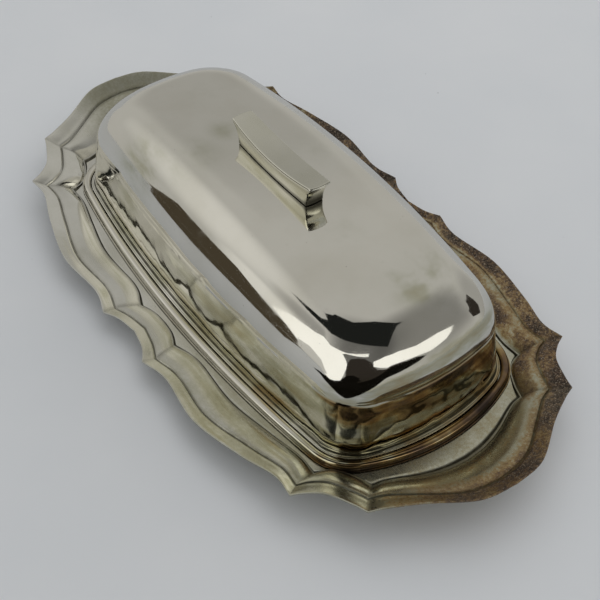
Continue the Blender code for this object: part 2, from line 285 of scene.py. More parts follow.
def smoothstep(value, low, high):
    """0 below low, 1 above high, and a soft rise between them."""
    part = np.clip((np.asarray(value, dtype=float) - low) / (high - low), 0.0, 1.0)
    return part * part * (3 - 2 * part)


# ---------------------------------------------------------------- meshes

def cap(first, count):
    """Strips across a ring that starts on the +X axis and mirrors about it."""
    faces = [(first, first + 1, first + count - 1)]
    for i in range(1, count // 2 - 1):
        faces.append((first + i, first + i + 1, first + count - i - 1, first + count - i))
    middle = first + count // 2
    faces.append((middle - 1, middle, middle + 1))
    return faces


def add_mesh(name, vertices, polish_and_shade, faces, material, sharp_degrees):
    """A linked piece from points in millimetres, smooth but for its sharp edges."""
    mesh = bpy.data.meshes.new(name)
    mesh.from_pydata([tuple(float(c) * MM for c in v) for v in vertices], [], faces)
    work = bmesh.new()
    work.from_mesh(mesh)
    bmesh.ops.recalc_face_normals(work, faces=work.faces)
    work.to_mesh(mesh)
    work.free()
    mesh.shade_smooth()
    mesh.set_sharp_from_angle(angle=math.radians(sharp_degrees))
    mesh.materials.append(material)
    layer = mesh.attributes.new("polish_and_shade", "FLOAT", "POINT")
    layer.data.foreach_set("value", np.array(polish_and_shade, dtype=np.float32))
    item = bpy.data.objects.new(name, mesh)
    bpy.context.scene.collection.objects.link(item)
    return item


def loft(name, rings, material, closed_loop=False, sharp_degrees=40.0):
    """Skin over rings of equal length, capped at both ends or closed into a loop."""
    count = len(rings[0])
    vertices = np.vstack(rings)
    faces = []
    steps = len(rings) if closed_loop else len(rings) - 1
    for k in range(steps):
        low = k * count
        high = ((k + 1) % len(rings)) * count
        for i in range(count):
            j = (i + 1) % count
            faces.append((low + i, low + j, high + j, high + i))
    if not closed_loop:
        faces += cap(0, count)
        faces += cap(len(vertices) - count, count)
    return add_mesh(name, vertices[:, :3], vertices[:, 3], faces, material, sharp_degrees)


# ---------------------------------------------------------------- tray

def near_points(reach):
    """1 at the points where the tray's runs meet, falling to 0 a few samples away."""
    quarter = np.full(sum(RUN_SAMPLES) + 1, float(sum(RUN_SAMPLES)))
    for stop in np.cumsum(RUN_SAMPLES[:-1]):
        quarter = np.minimum(quarter, np.abs(np.arange(len(quarter)) - stop))
    around = np.concatenate([quarter, quarter[-2::-1], quarter[1:], quarter[-2:0:-1]])
    return np.exp(-(around / reach) ** 2)


def rim_height(outline):
    """Height of the rim above the table, which sweeps up towards the ends."""
    return RIM_SIDE_Z + RIM_SWEEP * (np.abs(outline[:, 0]) / SWEEP_X) ** 2


def floor_rings(well, seat, land):
    """The recess and the flat land, with softened edges, out to the step of the border."""
    floor = follow(inset(WELL_PLAN, 1.0), land)
    rings = [ring(across(floor, well, -0.4), SHEET), ring(floor, SHEET + 0.12)]
    for part, height in ((0.35, SHEET + 0.5), (0.8, LAND_Z - 0.5), (1.0, LAND_Z - 0.12)):
        rings.append(ring(across(floor, well, part), height))
    for part in (0.06, 0.5, 1.0):
        rings.append(ring(across(well, seat, part), LAND_Z))
    for part in (0.35, 0.62):
        rings.append(ring(across(seat, land, part), LAND_Z))
    # fine groove, then the step; the third values are painted shade along the step's foot, with
    # dried polish
    step = ((0.76, 0.0, 0.0), (0.80, -0.05, 0.25), (0.85, -0.16, 1.0), (0.91, -0.05, 1.0),
            (0.96, 0.28, 0.85), (1.0, STEP_RISE, 0.5))
    for part, height, polish_and_shade in step:
        rings.append(ring(across(seat, land, part), LAND_Z + height, polish_and_shade))
    return rings


def ovolo_rings(land, crease, crease_z, mitre):
    """The rounded moulding from the step up to the groove at the crease."""
    step_z = LAND_Z + STEP_RISE
    ovolo = ((0.0, 0.0), (0.06, 0.03), (0.16, 0.24), (0.34, 0.53), (0.58, 0.78), (0.80, 0.92),
             (0.93, 0.96))
    rings = []
    for part, share in curve_through(ovolo, 26)[1:]:
        # Painted shade with dried polish at the foot of the ovolo, in its groove and at the
        # points where runs meet.
        polish_and_shade = 0.45 * (1 - smoothstep(part, 0.0, 0.14)) + 0.20 * smoothstep(part, 0.84, 0.93)
        rings.append(ring(across(land, crease, part), step_z + share * (crease_z - step_z),
                          np.maximum(polish_and_shade, 0.45 * mitre)))
    for part, drop, polish_and_shade in ((0.965, 0.10, 0.3), (0.985, 0.34, 0.62), (1.0, GROOVE_DROP, 0.62)):
        rings.append(ring(across(land, crease, part), crease_z - drop, polish_and_shade))
    return rings


def flange_rings(crease, rim, crease_z, top_z, mitre):
    """The outer band from the crease to the thin rounded edge."""
    groove_z = crease_z - GROOVE_DROP
    flange = ((0.0, 0.0), (0.05, 0.06), (0.14, 0.26), (0.34, 0.44), (0.62, 0.72), (0.85, 0.93),
              (0.95, 1.0))
    rings = []
    for part, lift in curve_through(flange, 20)[1:]:
        # Painted shade with dried polish at the foot of the flange, in the groove.
        polish_and_shade = 0.45 * (1 - smoothstep(part, 0.02, 0.14))
        rings.append(ring(across(crease, rim, part), groove_z + lift * (top_z - groove_z),
                          np.maximum(polish_and_shade, 0.3 * mitre)))
    for part, drop in ((0.99, 0.03), (1.0, 0.14), (1.0, 0.42), (0.985, 0.60), (0.95, 0.74)):
        rings.append(ring(across(crease, rim, part), top_z - drop))
    return rings


def underside_rings(well, land, crease, rim, crease_z, top_z):
    """The back of the sheet, from the rim in to the flat foot under the recess."""
    step_z = LAND_Z + STEP_RISE
    back_z = 0.5 * (top_z - EDGE_BACK + crease_z - CREASE_BACK - SHEET)
    rings = [ring(across(crease, rim, 0.5), back_z),
             ring(crease, crease_z - CREASE_BACK - SHEET)]
    for part, share in ((0.80, 0.90), (0.60, 0.78), (0.38, 0.56), (0.18, 0.28)):
        rings.append(ring(across(land, crease, part),
                          step_z + share * (crease_z - step_z) - SHEET))
    rings.append(ring(land, LAND_Z - SHEET))
    outer_well = follow(inset(WELL_PLAN, -SHEET), land)
    rings.append(ring(across(outer_well, land, 0.15), LAND_Z - SHEET))
    rings.append(ring(outer_well, LAND_Z - SHEET - 0.15))
    for part, height in ((0.25, 0.35), (0.0, 0.0), (-1.0, 0.0)):
        rings.append(ring(across(well, outer_well, part), height))
    return rings


def build_tray(material):
    """One pressed sheet: recess, land, step, ovolo, groove, flange and edge."""
    rim, crease, land = map(scalloped, (RIM_OUTLINE, CREASE_OUTLINE, LAND_OUTLINE))
    well = follow(WELL_PLAN, land)
    seat = follow(BEAD_PLAN, land)
    rise = rim_height(rim) - LAND_Z
    crease_z = LAND_Z + CREASE_RISE * rise
    top_z = LAND_Z + rise
    mitre = near_points(0.8)
    rings = floor_rings(well, seat, land)
    rings += ovolo_rings(land, crease, crease_z, mitre)
    rings += flange_rings(crease, rim, crease_z, top_z, mitre)
    rings += underside_rings(well, land, crease, rim, crease_z, top_z)
    return loft("tray_plate", rings, material, sharp_degrees=26.0)


# ---------------------------------------------------------------- lid, bead and handle

def lid_profile(steps):
    """Inset and height above the land of the lid's outside, from the wall's foot to the top."""
    shoulder_height = LID_HEIGHT - CROWN - WALL_TOP
    points = []
    for height in np.linspace(WALL_FOOT, WALL_TOP, 6):
        points.append((WALL_DRAFT * (height - WALL_FOOT), height))
    for k in range(1, steps + 1):
        turn = 0.5 * math.pi * k / steps
        points.append((SHOULDER_START + SHOULDER_WIDTH * (1 - math.cos(turn)),
                       WALL_TOP + shoulder_height * math.sin(turn)))
    last = points[-1][0]
    for amount in np.linspace(last, TOP_INSET, 9)[1:]:
        points.append((amount, LID_HEIGHT - CROWN))
    crowned = []
    for amount, height in points:
        part = max(amount - SHOULDER_START, 0.0) / (TOP_INSET - SHOULDER_START)
        crowned.append((amount, height + CROWN * (1 - (1 - part) ** 2)))
    return crowned


def top_sag(x, height):
    """How far the lid's surface has dropped at x, for a height above the land in its middle."""
    return TOP_SAG * max(height - WALL_TOP, 0.0) * (x / WALL_PLAN[0]) ** 2


def lid_ring(amount, height, thickness=0.0):
    """One level of the lid's outside, or of its inside when a thickness is given."""
    length, *others = inset(WALL_PLAN, amount + thickness, CORNER_GROWTH)
    length += END_EASE * min(max(amount - SHOULDER_START, 0.0) / SHOULDER_WIDTH, 1.0)
    outline = bowed((length, *others), LID_SAMPLES)
    return ring(outline, LAND_Z + height - thickness - top_sag(outline[:, 0], height))


def foot_ring(share, height, polish_and_shade=0.0):
    """A ring between the wall's outline and the bead's rim."""
    wall = bowed(WALL_PLAN, LID_SAMPLES)
    return ring(wall + share * (bowed(BEAD_PLAN, LID_SAMPLES) - wall), LAND_Z + height, polish_and_shade)


def build_lid(material):
    """The drawn cover as one sheet: a turned-out foot with two lines, wall, shoulder and top."""
    profile = lid_profile(26)
    # The third value is painted shade with dried polish: darkest where the foot stands on the
    # land, and in the foot's lines.
    foot = ((FOOT_SHARE, GAP, 1.0), (FOOT_SHARE, 1.5, 0.9), (0.275, 1.76, 0.1),
            (0.255, 1.86, 0.0), (0.205, 1.90, 0.0), (0.185, 1.84, 0.8), (0.165, 1.94, 0.0),
            (0.10, 1.98, 0.0), (0.07, 1.95, 0.9), (0.03, 2.02, 1.0), (0.012, 2.2, 0.9),
            (0.0, 2.5, 0.2), (0.0, 2.8, 0.0))
    outer = [foot_ring(*spot) for spot in foot]
    outer += [lid_ring(amount, height) for amount, height in profile]
    inner = [lid_ring(0.0, GAP + SHEET, SHEET)]
    inner += [lid_ring(amount, height, SHEET) for amount, height in profile[::2]]
    return loft("lid_dome", inner[::-1] + outer, material)


def build_bead(material):
    """Half-round wire around the lid's foot, standing on a thin lip."""
    middle, half, centre_height, rise = BEAD_WIRE
    rings = []
    # Painted shade with dried polish along the wire's lower edges, its back and its lip, where
    # they meet the land.
    for turn in np.linspace(-0.16 * math.pi, 0.93 * math.pi, 20):
        edge = 1.0 - min(abs(math.sin(turn)) / 0.28, 1.0)
        rings.append(foot_ring(middle + half * math.cos(turn),
                               centre_height + rise * math.sin(turn), 0.9 * edge))
    back = ((BEAD_SHARE, centre_height - 0.1, 1.0), (BEAD_SHARE, GAP + 0.05, 1.0),
            (BEAD_SHARE + 0.03, GAP, 1.0))
    lip = ((0.98, GAP, 0.8), (1.0, 0.38, 0.6), (1.0, 0.52, 0.0), (0.985, 0.62, 0.0),
           (0.93, 0.64, 0.1), (0.90, 0.56, 1.0))
    rings += [foot_ring(*spot) for spot in back + lip]
    return loft("lid_foot_bead", rings, material, closed_loop=True)


def bar_outline(size, samples=41):
    """Outline of the handle: nearly straight sides between two blunt round ends."""
    length, middle, end, bulge = size
    x = np.linspace(length, -length, samples)
    side = end + (middle - end) * (1 - (x / length) ** 2)
    upper = np.column_stack([x, side])
    lower = np.column_stack([x[::-1], -side[::-1]])
    turns = np.linspace(-0.5 * math.pi, 0.5 * math.pi, 13)[1:-1]
    nose = np.column_stack([length + bulge * np.cos(turns), end * np.sin(turns)])
    tail = nose * (-1, -1)
    return np.vstack([nose[5:], upper, tail, lower, nose[:5]])


def bar_top(x):
    """Height of the handle's top, which dips between its two ends."""
    return HANDLE_TOP_Z - HANDLE_SAG * (1 - np.minimum((x / HANDLE_TOP[0]) ** 2, 1.0))


def build_handle(material):
    """A cast bar with drawn-in sides, a rounded edge and a dipped top."""
    foot_z = LAND_Z + LID_HEIGHT + GAP
    foot = bar_outline(HANDLE_FOOT)
    top = bar_outline(HANDLE_TOP)
    foot_height = foot_z - top_sag(foot[:, 0], LID_HEIGHT)
    edge_height = bar_top(top[:, 0]) - HANDLE_EDGE

    rings = []
    sides = ((0.0, 0.0), (0.2, 0.03), (0.45, 0.17), (0.7, 0.45), (0.88, 0.78), (1.0, 1.0))
    for part, reach in curve_through(sides, 20):
        at_nose = smoothstep(np.abs(foot[:, 0]), 15.5, 17.2)
        # Painted shade with dried polish at the foot, where the bar stands on the lid, reaching
        # higher at its blunt ends.
        polish_and_shade = (0.75 + 0.25 * at_nose) * (1 - smoothstep(part, 0.03, 0.26 + 0.3 * at_nose))
        rings.append(ring(foot + reach * (top - foot),
                          foot_height + part * (edge_height - foot_height), polish_and_shade))
    length, middle, end, bulge = HANDLE_TOP
    for turn in np.linspace(0.0, 0.5 * math.pi, 7)[1:]:
        back = HANDLE_EDGE * (1 - math.cos(turn))
        outline = bar_outline((length - back, middle - back, end - back, bulge))
        rings.append(ring(outline, bar_top(outline[:, 0]) - HANDLE_EDGE * (1 - math.sin(turn))))
    flat = rings[-1][:, :2]
    for share in (0.85, 0.6, 0.3):
        inner = flat * (1.0, share)
        rings.append(ring(inner, bar_top(inner[:, 0])))
    return loft("handle_bar", rings, material, sharp_degrees=32.0)


# ---------------------------------------------------------------- liner

def build_liner(material):
    """The pressed glass dish: outside, rounded lip, inside."""
    base_z = SHEET + GAP
    top_z = base_z + LINER_HEIGHT
    floor_z = base_z + LINER_WALL

    def level(amount, height):
        """One level of the dish, moved in from its plan."""
        return ring(bowed(inset(LINER_PLAN, amount), 16), height)

    outside = ((4.5, 0.0), (2.9, 0.05), (2.1, 0.35), (1.6, 0.9), (1.0, 3.0), (0.4, 6.0),
               (0.0, 8.1))
    rings = [level(amount, base_z + height) for amount, height in outside]
    for turn in np.linspace(0.0, math.pi, 9):
        amount = 0.5 * LINER_WALL * (1 - math.cos(turn))
        rings.append(level(amount, top_z - 0.9 + 0.9 * math.sin(turn)))
    inside = ((0.1, 6.0), (0.45, 3.0), (0.85, 1.4), (1.3, 0.6), (2.0, 0.15), (3.2, 0.0),
              (5.0, 0.0))
    rings += [level(LINER_WALL + amount, floor_z + height) for amount, height in inside]
    return loft("liner_dish", rings, material, sharp_degrees=50.0)


# ---------------------------------------------------------------- materials

def make(tree, kind, settings=None, **inputs):
    """A new node. Inputs are numbers, colours or sockets, named as the node names them."""
    node = tree.nodes.new(kind)
    for key, value in (settings or {}).items():
        setattr(node, key, value)
    for key, value in inputs.items():
        socket = node.inputs[key.replace("_", " ")]
        if isinstance(value, bpy.types.NodeSocket):
            tree.links.new(value, socket)
        else:
            socket.default_value = value
    return node


def blank(name):
    """A material with only its shader and output, and that shader."""
    material = bpy.data.materials.new(name)
    material.use_nodes = True
    return material, material.node_tree, material.node_tree.nodes["Principled BSDF"]


def compute(tree, operation, first, second=0.0):
    """One step of arithmetic on numbers or sockets."""
    node = tree.nodes.new("ShaderNodeMath")
    node.operation = operation
    for socket, value in zip(node.inputs, (first, second)):
        if isinstance(value, bpy.types.NodeSocket):
            tree.links.new(value, socket)
        else:
            socket.default_value = value
    return node.outputs[0]


def remap(tree, value, low, high, to_low=0.0, to_high=1.0):
    """A value's range stretched to another one, and held at its ends."""
    node = make(tree, "ShaderNodeMapRange", {"clamp": True}, Value=value, From_Min=low,
                From_Max=high, To_Min=to_low, To_Max=to_high)
    return node.outputs[0]


def mix_colour(tree, factor, first, second):
    """First colour at factor 0, second at factor 1."""
    node = tree.nodes.new("ShaderNodeMix")
    node.data_type = "RGBA"
    for index, value in ((0, factor), (6, first), (7, second)):
        if isinstance(value, bpy.types.NodeSocket):
            tree.links.new(value, node.inputs[index])
        else:
            node.inputs[index].default_value = value
    return node.outputs[2]


def mix_number(tree, factor, first, second):
    """First number at factor 0, second at factor 1."""
    return compute(tree, "ADD", compute(tree, "MULTIPLY", factor, second),
                   compute(tree, "MULTIPLY", compute(tree, "SUBTRACT", 1.0, factor), first))


def add_weighted(tree, total, *terms):
    """The total plus each value times its weight."""
    for value, weight in terms:
        total = compute(tree, "ADD", total, compute(tree, "MULTIPLY", value, weight))
    return total


def bump(tree, height, depth_mm, strength=1.0, under=None):
    """A bump as deep as depth_mm, laid over another one where one is given."""
    node = make(tree, "ShaderNodeBump", None, Strength=strength, Distance=depth_mm * MM,
                Height=height)
    if under is not None:
        tree.links.new(under, node.inputs["Normal"])
    return node.outputs[0]


def place(tree, scale=(1.0, 1.0, 1.0), turn=(0.0, 0.0, 0.0)):
    """Object coordinates, turned and stretched."""
    where = tree.nodes.new("ShaderNodeTexCoord")
    mapped = make(tree, "ShaderNodeMapping", None, Vector=where.outputs["Object"], Scale=scale,
                  Rotation=turn)
    return mapped.outputs[0]


def noise(tree, size_mm, detail=3.0, where=None, roughness=0.5):
    """Noise whose features are about size_mm across."""
    node = make(tree, "ShaderNodeTexNoise", None, Vector=where or place(tree),
                Scale=1000.0 / size_mm, Detail=detail, Roughness=roughness)
    return node.outputs[0]


def scratches(tree, length_mm, width_mm, turns):
    """Fine straight lines in a few directions, 1 on a line and 0 elsewhere."""
    total = None
    for turn in turns:
        where = place(tree, (width_mm / length_mm, 1.0, 1.0), (turn * 0.7, turn * 0.4, turn))
        lines = remap(tree, noise(tree, width_mm, 1.0, where), 0.70, 0.76)
        total = lines if total is None else compute(tree, "MAXIMUM", total, lines)
    return total


def specks(tree, spacing_mm, radius_mm):
    """Small round dots, 1 inside a dot."""
    cells = make(tree, "ShaderNodeTexVoronoi", None, Vector=place(tree),
                 Scale=1000.0 / spacing_mm)
    picked = remap(tree, noise(tree, spacing_mm * 3.0, 1.0), 0.52, 0.60)
    radius = radius_mm / spacing_mm
    dot = remap(tree, cells.outputs["Distance"], radius, 0.6 * radius)
    return compute(tree, "MULTIPLY", dot, picked)


def rgba(colour):
    """A colour with full cover."""
    return (*colour, 1.0)


def point_value(tree, name):
    """A value that the mesh itself carries at its points."""
    return make(tree, "ShaderNodeAttribute", {"attribute_name": name}).outputs["Fac"]


def polish_and_painted_shade(tree, tone):
    """Colour with dark dried polish and painted crevice shade over it where the mesh carries
    them, and that cover's amount.
    """
    broken = remap(tree, noise(tree, 3.0, 4.0), 0.25, 0.6, 0.72, 1.1)
    cover = compute(tree, "MULTIPLY", point_value(tree, "polish_and_shade"), broken)
    cover = remap(tree, cover, 0.05, 0.95, 0.0, 0.94)
    return mix_colour(tree, cover, tone, rgba(DRIED_POLISH_AND_SHADE)), cover


def tarnish_film(tree, depth):
    """Colour of the plate for how deep its tarnish is."""
    ramp = tree.nodes.new("ShaderNodeValToRGB")
    tree.links.new(depth, ramp.inputs[0])
    while len(ramp.color_ramp.elements) < len(TARNISH_STOPS):
        ramp.color_ramp.elements.new(0.5)
    for element, (position, colour) in zip(ramp.color_ramp.elements, TARNISH_STOPS):
        element.position = position
        element.color = rgba(colour)
    return ramp.outputs[0]


def silver(name, colour, shade, roughness, haze, ripple):
    """Polished plate: hazy patches, fine scratches, specks and a slightly wavy sheet, with
    streaky tarnish and painted reflection, dents, and dried polish with painted shade where
    the mesh has them."""
    material, tree, shader = blank(name)
    patch = remap(tree, noise(tree, 22.0, 4.0), 0.42, 0.68)
    film = remap(tree, noise(tree, 6.0, 5.0, None, 0.65), 0.45, 0.75)
    lines = scratches(tree, 14.0, 0.12, (0.35, 1.25, 2.3))
    dots = specks(tree, 2.6, 0.16)
    tone = mix_colour(tree, compute(tree, "MULTIPLY", patch, 0.55), rgba(colour), rgba(shade))
    streaks = noise(tree, 9.0, 4.0, place(tree, (0.35, 0.35, 1.6)), 0.62)
    tint_depth = compute(tree, "MULTIPLY", point_value(tree, "tarnish"),
                   remap(tree, streaks, 0.38, 0.62, 0.30, 1.5))
    tone = mix_colour(tree, remap(tree, tint_depth, 0.0, 0.16), tone, tarnish_film(tree, tint_depth))
    dark = tuple(0.35 * c for c in shade)
    tone = mix_colour(tree, compute(tree, "MULTIPLY", dots, 0.7), tone, rgba(dark))
    tone, cover = polish_and_painted_shade(tree, tone)
    tree.links.new(tone, shader.inputs["Base Color"])
    rough = compute(tree, "MULTIPLY", compute(tree, "MULTIPLY", patch, film), haze)
    rough = add_weighted(tree, rough, (lines, 0.10), (dots, 0.3), (tint_depth, 0.10), (cover, 0.25))
    tree.links.new(compute(tree, "ADD", rough, roughness), shader.inputs["Roughness"])
    shader.inputs["Metallic"].default_value = 1.0
    waves = bump(tree, noise(tree, 16.0, 1.0), ripple)
    knocks = compute(tree, "MULTIPLY", noise(tree, 13.0, 2.0), point_value(tree, "dents"))
    dented = bump(tree, knocks, DENT_DEPTH, 1.0, waves)
    scratched = bump(tree, lines, SCRATCH_DEPTH, 0.25, dented)
    tree.links.new(scratched, shader.inputs["Normal"])
    return material


def tarnished_silver(name):
    """The tray's plate: dull olive patches, going gold, brown and near black where the mesh's
    own tarnish value is high, with a grain of light specks there. Where the mesh says it is
    rubbed, it reflects less sharply."""
    material, tree, shader = blank(name)
    tint_depth = point_value(tree, "tarnish")
    cloud = noise(tree, 9.0, 5.0, None, 0.6)
    grain = noise(tree, 0.9, 4.0, None, 0.7)
    depth = compute(tree, "MULTIPLY", tint_depth, remap(tree, cloud, 0.28, 0.68, 0.45, 1.25))
    depth = compute(tree, "ADD", depth,
                    compute(tree, "MULTIPLY", tint_depth, remap(tree, grain, 0.3, 0.7, -0.40, 0.40)))
    patch = remap(tree, noise(tree, 14.0, 4.0), 0.38, 0.66)
    dull = compute(tree, "MULTIPLY", patch, remap(tree, depth, 0.2, 0.6, 0.34, 0.12))
    tone = mix_colour(tree, dull, tarnish_film(tree, depth), rgba(DULL_OLIVE))
    bright = compute(tree, "MULTIPLY", remap(tree, noise(tree, 0.42, 2.0), 0.57, 0.68), depth)
    tone = mix_colour(tree, compute(tree, "MULTIPLY", bright, 0.80), tone, rgba(WORN_BRIGHT))
    dots = specks(tree, 2.2, 0.18)
    tone = mix_colour(tree, compute(tree, "MULTIPLY", dots, 0.6), tone, rgba(TRAY_SPECK))
    tone, cover = polish_and_painted_shade(tree, tone)
    tree.links.new(tone, shader.inputs["Base Color"])
    lines = scratches(tree, 12.0, 0.12, (0.5, 1.9))
    rough = add_weighted(tree, compute(tree, "MULTIPLY", depth, 0.55), (patch, 0.10),
                         (lines, 0.08), (cover, 0.3), (point_value(tree, "rubbed"), 0.34))
    tree.links.new(compute(tree, "ADD", rough, 0.09), shader.inputs["Roughness"])
    tree.links.new(remap(tree, depth, 0.12, 0.60, 1.0, 0.88), shader.inputs["Metallic"])
    waves = bump(tree, noise(tree, 14.0, 1.0), TRAY_RIPPLE)
    pitted = bump(tree, compute(tree, "MULTIPLY", grain, depth), PIT_DEPTH, 0.5, waves)
    tree.links.new(pitted, shader.inputs["Normal"])
    return material


def plain_metal(name, colour, roughness, grain_mm):
    """Turned or rolled metal of the small fittings, with a faint grain."""
    material, tree, shader = blank(name)
    patch = remap(tree, noise(tree, grain_mm, 4.0), 0.35, 0.7)
    tone = mix_colour(tree, patch, rgba(colour), rgba(tuple(0.72 * c for c in colour)))
    tree.links.new(tone, shader.inputs["Base Color"])
    tree.links.new(remap(tree, patch, 0.0, 1.0, roughness, roughness + 0.12),
                   shader.inputs["Roughness"])
    shader.inputs["Metallic"].default_value = 1.0
    return material


def pressed_glass(name):
    """Clear glass with the soft unevenness of a pressed dish."""
    material, tree, shader = blank(name)
    shader.inputs["Base Color"].default_value = (0.95, 0.98, 0.97, 1.0)
    shader.inputs["Transmission Weight"].default_value = 1.0
    shader.inputs["IOR"].default_value = 1.5
    smudge = remap(tree, noise(tree, 9.0, 4.0), 0.5, 0.75)
    tree.links.new(remap(tree, smudge, 0.0, 1.0, 0.02, 0.10), shader.inputs["Roughness"])
    uneven = bump(tree, noise(tree, 11.0, 2.0), GLASS_RIPPLE, 0.6)
    tree.links.new(uneven, shader.inputs["Normal"])
    return material


def table_top(name, shade):
    """Pale blue-grey painted table with faint mottling and a few specks. A shade below 1
    darkens it."""
    material, tree, shader = blank(name)
    cloud = remap(tree, noise(tree, 60.0, 4.0), 0.35, 0.65)
    low = tuple(shade * c for c in (0.765, 0.775, 0.785))
    high = tuple(shade * c for c in (0.795, 0.80, 0.805))
    tone = mix_colour(tree, cloud, rgba(low), rgba(high))
    dots = specks(tree, 14.0, 0.5)
    tone = mix_colour(tree, compute(tree, "MULTIPLY", dots, 0.35), tone, rgba(TABLE_SPECK))
    tree.links.new(tone, shader.inputs["Base Color"])
    shader.inputs["Roughness"].default_value = 0.55
    shader.inputs["Specular IOR Level"].default_value = 0.3
    return material


# ---------------------------------------------------------------- tarnish

def point_places(item):
    """Positions of a piece's points in millimetres, as three rows."""
    spots = np.zeros(len(item.data.vertices) * 3)
    item.data.vertices.foreach_get("co", spots)
    return spots.reshape(-1, 3).T / MM


def write_value(item, name, value):
    """Store one number per point on a piece, for its material to read."""
    layer = item.data.attributes.new(name, "FLOAT", "POINT")
    layer.data.foreach_set("value", value.astype(np.float32))


def tarnish_tray(tray):
    """Heavy on the border of the +X end and of the +Y side, gold in the hollow of that end, a
    straw film that grows towards +X, and a dull, rubbed border at the -X end."""
    x, y, z = point_places(tray)
    at_end = smoothstep(x, 62.0, 92.0) * smoothstep(y, -40.0, -18.0)
    at_side = smoothstep(y, 14.0, 34.0) * smoothstep(x, -84.0, -66.0)
    up = (z - LAND_Z) / (rim_height(np.column_stack([x, y])) - LAND_Z)
    on_flange = smoothstep(up, 0.55, 0.80)
    on_cove = smoothstep(up, 0.04, 0.30) * (1 - on_flange)
    at_side *= 0.94 - 0.09 * smoothstep(x, 10.0, 40.0)
    value = np.maximum(0.78 * at_end, at_side) * on_flange
    value = np.maximum(value, 0.33 * at_end * on_cove)
    value = np.maximum(value, 0.76 * at_side * on_cove)
    value = np.maximum(value, 0.24 * smoothstep(x, 52.0, 80.0) * smoothstep(y, -38.0, -22.0))
    value = np.maximum(value, 0.02 + 0.13 * smoothstep(x, -15.0, 50.0))
    dull_end = smoothstep(-x, 40.0, 70.0) * smoothstep(y, -26.0, -8.0)
    dull_end *= smoothstep(up, 0.30, 0.60)
    value = np.maximum(value, 0.17 * dull_end)
    write_value(tray, "tarnish", value)
    write_value(tray, "rubbed", dull_end)


def tarnish_lid(lid):
    """Brown on the wall of the +X end, gold on that end's shoulder, a straw film on the -Y wall
    that is painted reflection of the tray's tarnished border, darker low down, and dull spots on
    top. The wall is dented, most of all at the +X end."""
    x, y, z = point_places(lid)
    low = 1 - smoothstep(z, LAND_Z + WALL_TOP - 0.5, LAND_Z + WALL_TOP + 1.5)
    band = 1 - smoothstep(z, LAND_Z + WALL_TOP + 4.0, LAND_Z + WALL_TOP + 12.0)
    at_end = smoothstep(x, 52.0, 72.0)
    under_shoulder = smoothstep(z, LAND_Z + WALL_TOP - 4.0, LAND_Z + WALL_TOP - 1.0)
    value = (0.36 + 0.54 * under_shoulder) * at_end * low
    value = np.maximum(value, 0.27 * at_end * band)
    # Painted reflection of the tray's tarnished border on the -Y wall: stronger towards +X and
    # low on the wall.
    olive = 0.08 + 0.12 * smoothstep(x, -30.0, 45.0)
    olive += 0.03 * (1 - smoothstep(z, LAND_Z + 5.0, LAND_Z + 12.0))
    value = np.maximum(value, olive * smoothstep(-y, 22.0, 30.0) * low)
    for spot_x, spot_y, radius, amount in LID_SPOTS:
        value = np.maximum(value, amount * np.exp(-((x - spot_x) ** 2 + (y - spot_y) ** 2)
                                                  / radius ** 2))
    write_value(lid, "tarnish", value)
    low *= smoothstep(z, LAND_Z + WALL_FOOT - 0.5, LAND_Z + WALL_FOOT + 2.0)
    write_value(lid, "dents", low * (1 + 2 * at_end))


def tarnish_bead(bead):
    """Brown towards the +X end."""
    x = point_places(bead)[0]
    write_value(bead, "tarnish", 0.04 + 0.60 * smoothstep(x, 48.0, 74.0))


def tarnish_handle(handle):
    """Olive on its sides, less on its top."""
    x, _, z = point_places(handle)
    below = 1 - smoothstep(z - bar_top(x), -1.6, -0.3)
    write_value(handle, "tarnish", 0.13 * below)


# ---------------------------------------------------------------- stage

def direction(azimuth, elevation):
    """Unit vector towards an azimuth from +X and an elevation, in degrees."""
    a = math.radians(azimuth)
    e = math.radians(elevation)
    return Vector((math.cos(a) * math.cos(e), math.sin(a) * math.cos(e), math.sin(e)))


def glow(name, colour, strength):
    """An evenly lit card's material."""
    material = bpy.data.materials.new(name)
    material.use_nodes = True
    tree = material.node_tree
    tree.nodes.clear()
    light = make(tree, "ShaderNodeEmission", None, Color=rgba(colour), Strength=strength)
    out = tree.nodes.new("ShaderNodeOutputMaterial")
    tree.links.new(light.outputs[0], out.inputs[0])
    return material


def add_card(name, points, outline, material):
    """A studio card that only reflections see. Its faces are cut from a flat outline."""
    faces = tessellate_polygon([[Vector((*corner, 0.0)) for corner in outline]])
    mesh = bpy.data.meshes.new(name)
    mesh.from_pydata(points, [], faces)
    mesh.materials.append(material)
    item = bpy.data.objects.new(name, mesh)
    bpy.context.scene.collection.objects.link(item)
    item.visible_camera = False
    item.visible_diffuse = False
    item.visible_shadow = False
    item.visible_transmission = False


def wall_card(name, corners, distance, material):
    """An upright card between (azimuth, elevation) corners as seen from the lid, in degrees.
    A nearer card hides a farther one."""
    points = []
    for azimuth, elevation in corners:
        reach = distance / math.cos(math.radians(elevation))
        points.append(LID_MIDDLE + direction(azimuth, elevation) * reach)
    add_card(name, points, corners, material)


def level_card(name, corners, height, material):
    """A card lying at one height above the table, from (x, y) corners in metres."""
    add_card(name, [(x, y, height) for x, y in corners], corners, material)


def lobe(tree, level, where, azimuth, elevation, inner, outer, gain):
    """The room's level times gain inside a round patch of it, fading out between two angles."""
    centre = direction(azimuth, elevation)
    aim = make(tree, "ShaderNodeVectorMath", {"operation": "DOT_PRODUCT"})
    tree.links.new(where, aim.inputs[0])
    aim.inputs[1].default_value = centre
    fade = make(tree, "ShaderNodeMapRange", {"interpolation_type": "SMOOTHSTEP"},
                Value=aim.outputs["Value"], From_Min=math.cos(math.radians(outer)),
                From_Max=math.cos(math.radians(inner)), To_Min=1.0, To_Max=gain)
    return compute(tree, "MULTIPLY", level, fade.outputs[0])


